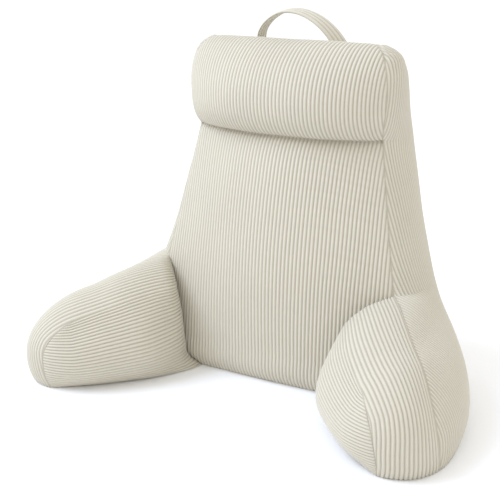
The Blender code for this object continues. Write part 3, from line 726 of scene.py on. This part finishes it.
def corduroy(name):
    """Cotton corduroy: pale cut pile on the ribs and the darker ground weave between, with painted shade
    beside the seams.
    """
    finish = Finish(name, Metallic=0.0, Sheen_Weight=0.4, Sheen_Roughness=0.35, Specular_IOR_Level=0.15)
    place = finish.node("ShaderNodeTexCoord", {}, out=3)
    rib = finish.node("ShaderNodeAttribute", {"attribute_name": "rib"}, out=2)
    seam = finish.node("ShaderNodeAttribute", {"attribute_name": "seam"}, out=2)
    pile = finish.node("ShaderNodeTexNoise", {}, Vector=place, Scale=PILE_SCALE, Detail=3.0, Roughness=0.6)
    nap = finish.node("ShaderNodeTexNoise", {}, Vector=place, Scale=NAP_SCALE, Detail=2.0)
    broad = finish.node("ShaderNodeTexNoise", {}, Vector=place, Scale=BROAD_SCALE, Detail=2.0)
    height = (rib + (pile - 0.5) * 0.30 + (nap - 0.5) * 0.16) ** 1.15
    colour = finish.mix(height, VALLEY, CREST)
    # Painted shade: darkens the cloth beside its seams, at the tuck and behind the roll, where shade falls.
    colour = finish.mix((seam ** 3.0) * 0.35, colour, PAINTED_SEAM_SHADE)
    tone = 0.955 + broad * 0.09
    tint = finish.node("ShaderNodeCombineColor", {}, tone, tone, tone * 0.997)
    finish.feed("Base Color", finish.mix(1.0, colour, tint, "MULTIPLY"))
    finish.feed("Roughness", 0.97 - rib * 0.10 + (pile - 0.5) * 0.06)
    bump = finish.node("ShaderNodeBump", {}, Strength=0.5, Distance=BUMP, Height=pile + nap * 0.6)
    finish.feed("Normal", bump)
    return finish.material


def cushion(name, bm, slot):
    """One stuffed cushion that stands for its plain solid."""
    mesh = bpy.data.meshes.new(name)
    bm.to_mesh(mesh)
    bm.free()
    mesh.shade_smooth()
    mesh.materials.append(corduroy(slot))
    piece = bpy.data.objects.new(name, mesh)
    bpy.context.collection.objects.link(piece)
    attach(piece, "root")
    return piece


back = whole()
cut(back, centre, normal, False)
cut(back, centre * mirrored, normal * mirrored, False)
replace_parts(cushion("back_cushion_cloth", back, "corduroy_back"), "back_cushion")
for side, flip in (("right", np.array([1, 1, 1])), ("left", mirrored)):
    arm = whole()
    cut(arm, centre * flip, normal * flip, True)
    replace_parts(cushion("arm_" + side + "_cloth", arm, "corduroy_arm_" + side), "arm_" + side)

# ---------------------------------------------------------------- carrying strap
# A folded and stitched band of the same cloth, its ribs lengthwise. Both ends are sewn into
# the seam behind the roll, and it stands up in a soft, uneven arch.
STRAP_W, STRAP_T = 34.0, 5.5
STRAP_RIBS = 4
STRAP_SAMPLES = 8      # points across one of its ribs
STRAP_RIB = 0.75       # a rib's height
STRAP_CORE = 0.9       # how far the core under the ribs lies inside the band's faces
STRAP_RINGS = 96
SEWN_IN = 0.03         # how much of a share each end runs on into the seam
SEWN_DROP = 260.0      # how far it goes down there for a whole share, so 7.8 at each end
STRAP = [
    # share, x,     y,     z,     lean
    (0.0,   -84.0, 159.0, 562.5, -2.0),
    (0.12,  -79.0, 157.0, 583.0, -3.0),
    (0.28,  -61.0, 155.0, 604.0, -3.0),
    (0.46,  -30.0, 154.0, 618.0, -4.0),
    (0.62,  2.0,   154.0, 616.0, -9.0),
    (0.80,  38.0,  155.0, 598.0, -16.0),
    (0.92,  58.0,  157.0, 578.0, -20.0),
    (1.0,   69.0,  158.0, 562.5, -22.0),
]
strap_cols = [col(STRAP, 0, k) for k in range(1, 5)]
outline = []
for across in np.linspace(0, 1, STRAP_RIBS * STRAP_SAMPLES + 1):
    crest = float(rib_profile(across * STRAP_RIBS + 0.5))
    thin = 1 - abs(2 * across - 1) ** 6
    outline.append((STRAP_W * (across - 0.5), (STRAP_T / 2 - STRAP_CORE) * thin + STRAP_RIB * crest, crest))
outline += [(a, -b, c) for a, b, c in reversed(outline)]
bm = bmesh.new()
rib_layer = bm.verts.layers.float.new("rib")
seam_layer = bm.verts.layers.float.new("seam")
rings = []
for share in np.linspace(-SEWN_IN, 1 + SEWN_IN, STRAP_RINGS):
    inside = float(np.clip(share, 0, 1))
    here = np.array([float(c(inside)) for c in strap_cols])
    here[2] -= max(-share, share - 1, 0) * SEWN_DROP
    ahead = np.array([float(c(min(inside + SMALL, 1)) - c(max(inside - SMALL, 0))) for c in strap_cols[:3]])
    ahead /= np.linalg.norm(ahead)
    lean = math.radians(here[3])
    out = np.cross(ahead, (0.0, 1.0, 0.0))
    out /= np.linalg.norm(out)
    out = out if out[2] > 0 or abs(ahead[2]) > 0.99 else -out
    wide = np.cross(out, ahead)
    wide = wide if wide[1] > 0 else -wide
    face = out * math.cos(lean) + wide * math.sin(lean)
    wide = wide * math.cos(lean) - out * math.sin(lean)
    ring = []
    for a, b, crest in outline:
        p = (here[:3] + wide * a + face * b - (0, MIDDLE_Y, 0)) * MM
        v = bm.verts.new(p)
        v[rib_layer], v[seam_layer] = crest, 0.0
        ring.append(v)
    rings.append(ring)
for one, two in zip(rings, rings[1:]):
    for n in range(len(outline)):
        bm.faces.new([one[n - 1], one[n], two[n], two[n - 1]])
bm.faces.new(rings[0])
bm.faces.new(rings[-1])
bmesh.ops.recalc_face_normals(bm, faces=bm.faces)
mesh = bpy.data.meshes.new("handle_strap_cloth")
bm.to_mesh(mesh)
bm.free()
mesh.shade_smooth()
mesh.materials.append(corduroy("corduroy_strap"))
strap = bpy.data.objects.new("handle_strap_cloth", mesh)
bpy.context.collection.objects.link(strap)
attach(strap, "root")
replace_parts(strap, "handle_strap")

# ---------------------------------------------------------------- floor, light and camera
# A plain white studio floor under even light, brightest from the upper left.
floor_mesh = bpy.data.meshes.new("floor")
floor_mesh.from_pydata([(-30, -30, 0), (30, -30, 0), (30, 30, 0), (-30, 30, 0)], [], [(0, 1, 2, 3)])
floor = bpy.data.objects.new("floor", floor_mesh)
bpy.context.collection.objects.link(floor)
paper = Finish("white_paper", Base_Color=(0.93, 0.93, 0.93, 1), Roughness=1.0, Specular_IOR_Level=0.0)
floor_mesh.materials.append(paper.material)

world = bpy.data.worlds.new("studio")
bpy.context.scene.world = world
world.use_nodes = True
world.node_tree.nodes["Background"].inputs["Color"].default_value = (1.0, 1.0, 1.0, 1)
world.node_tree.nodes["Background"].inputs["Strength"].default_value = 1.12


def lamp(name, place, aim, size, watts, colour):
    light = bpy.data.lights.new(name, "AREA")
    light.shape, light.size, light.energy, light.color = "DISK", size, watts, colour
    made = bpy.data.objects.new(name, light)
    bpy.context.collection.objects.link(made)
    made.location = place
    made.rotation_euler = (Vector(aim) - Vector(place)).to_track_quat("-Z", "Y").to_euler()


lamp("key", (-2.3, -1.5, 3.0), (0, 0, 0.3), 2.6, 110.0, (0.68, 0.78, 1.0))

SENSOR = 36.0                              # mm
FOCAL_PIXELS, FRAME_PIXELS = 1045.85, 500.0
CAMERA_AIM = Vector((-0.01049, -0.02442, 0.24371))
camera_data = bpy.data.cameras.new("camera")
camera = bpy.data.objects.new("camera", camera_data)
bpy.context.collection.objects.link(camera)
camera.location = (0.80845, -1.45321, 0.76201)
camera_data.sensor_width = SENSOR
camera_data.lens = FOCAL_PIXELS / FRAME_PIXELS * SENSOR
camera.rotation_euler = (CAMERA_AIM - camera.location).to_track_quat("-Z", "Y").to_euler()
bpy.context.scene.camera = camera
bpy.context.scene.view_settings.view_transform = "Standard"
bpy.context.scene.view_settings.look = "None"
